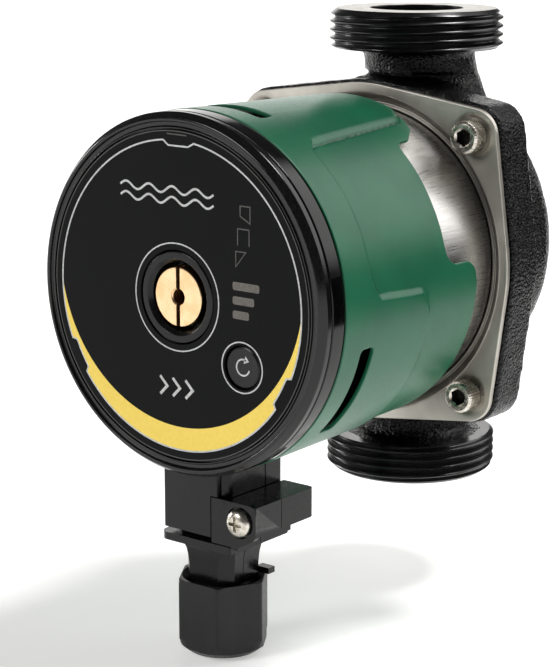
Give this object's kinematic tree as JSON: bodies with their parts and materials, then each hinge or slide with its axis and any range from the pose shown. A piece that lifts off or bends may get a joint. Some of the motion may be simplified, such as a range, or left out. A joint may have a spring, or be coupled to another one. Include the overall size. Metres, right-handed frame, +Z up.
{
  "type": "circulator pump",
  "caption": "Wet-rotor heating circulator pump: cast in-line housing with two threaded ports, round motor under a moulded cover, control face with button, vent plug and a power plug below.",
  "frame": {"origin": "where the pipe axis and the motor axis cross, inside the cast housing, midway between the two port faces", "axes": "+Z up the pipe towards the discharge port, -Y along the motor axis towards the control face, +X to the right as seen from the control face"},
  "size_m": [0.0942, 0.1254, 0.1605],
  "materials": {
    "cast_iron": "black cathodic paint over a grainy sand casting",
    "flange_steel": "satin pressed stainless steel",
    "bright_steel": "bright brushed stainless steel",
    "screw_steel": "zinc plated",
    "brass": "turned brass",
    "copper": "enamelled copper wire",
    "rubber": "matt EPDM rubber",
    "carbon": "ground carbon and ferrite",
    "black_plastic": "semi-gloss moulded polyamide",
    "gloss_black": "polished moulded plastic",
    "green_plastic": "fine-grained satin moulded plastic",
    "label_foil": "printed charcoal foil",
    "light_bar": "smoked translucent plastic",
    "board": "solder-masked glass fibre",
    "impeller_plastic": "glass-filled moulded plastic",
    "led_white": "phosphor-coated"
  },
  "bodies": {
    "pump_body": {"volute_housing": "cast_iron", "wear_ring": "bright_steel", "housing_seal": "rubber", "flange_plate": "flange_steel", "flange_screw_1": "screw_steel", "flange_screw_2": "screw_steel", "flange_screw_3": "screw_steel", "flange_screw_4": "screw_steel", "bearing_plate": "bright_steel", "front_bearing": "carbon", "rear_bearing": "carbon", "rear_bearing_holder": "bright_steel", "rotor_can": "bright_steel", "stator_core": "flange_steel", "stator_coil_1": "copper", "stator_coil_2": "copper", "stator_coil_3": "copper", "stator_coil_4": "copper", "stator_coil_5": "copper", "stator_coil_6": "copper", "motor_shell": "bright_steel", "motor_cover": "green_plastic", "control_base": "gloss_black", "front_cover": "gloss_black", "front_label": "label_foil", "light_guide": "light_bar", "led_1": "led_white", "led_2": "led_white", "led_3": "led_white", "button_switch": "black_plastic", "circuit_board": "board", "capacitor": "gloss_black", "choke": "copper", "power_module": "carbon", "heat_spreader": "flange_steel", "plug_collar": "gloss_black", "socket_block": "black_plastic", "contact_pin_1": "brass", "contact_pin_2": "brass", "contact_pin_3": "brass"},
    "rotor": {"rotor_shaft": "bright_steel", "thrust_ring": "carbon", "rotor_magnet": "carbon", "rotor_sleeve": "bright_steel", "impeller": "impeller_plastic"},
    "mode_button": {"mode_button": "black_plastic"},
    "bleed_seal": {"bleed_seal": "rubber"},
    "bleed_plug": {"bleed_plug": "brass"},
    "power_plug": {"plug_front_shell": "black_plastic", "plug_rear_shell": "black_plastic", "plug_screw": "screw_steel", "plug_terminal_1": "brass", "plug_terminal_2": "brass", "plug_terminal_3": "brass", "gland_grommet": "rubber"},
    "gland_ring": {"gland_ring": "black_plastic"},
    "gland_nut": {"gland_nut": "black_plastic"}
  },
  "joints": [
    {"name": "rotor_spin", "type": "hinge", "parent": "pump_body", "child": "rotor", "pos_m": [0, -0.04, 0], "axis": [0, -1, 0], "continuous": true},
    {"name": "button_press", "type": "slide", "parent": "pump_body", "child": "mode_button", "axis": [0, 1, 0], "range_m": [0, 0.0008], "stiffness_N_per_m": 1500, "springref_m": -0.0006},
    {"name": "bleed_travel", "type": "slide", "parent": "pump_body", "child": "bleed_seal", "axis": [0, -1, 0], "range_m": [0, 0.0075]},
    {"name": "bleed_turn", "type": "hinge", "parent": "bleed_seal", "child": "bleed_plug", "pos_m": [0, -0.095, 0], "axis": [0, -1, 0], "range_deg": [0, 1800]},
    {"name": "plug_pull", "type": "slide", "parent": "pump_body", "child": "power_plug", "axis": [0, 0, -1], "range_m": [0, 0.025]},
    {"name": "gland_travel", "type": "slide", "parent": "power_plug", "child": "gland_ring", "axis": [0, 0, -1], "range_m": [0, 0.012]},
    {"name": "gland_turn", "type": "hinge", "parent": "gland_ring", "child": "gland_nut", "pos_m": [0, -0.084, -0.085], "axis": [0, 0, -1], "range_deg": [0, 2160]}
  ],
  "couplings": [
    {"joint": "bleed_turn", "follows": "bleed_travel", "rad_per_m": 4188.8},
    {"joint": "gland_turn", "follows": "gland_travel", "rad_per_m": 3141.6}
  ]
}
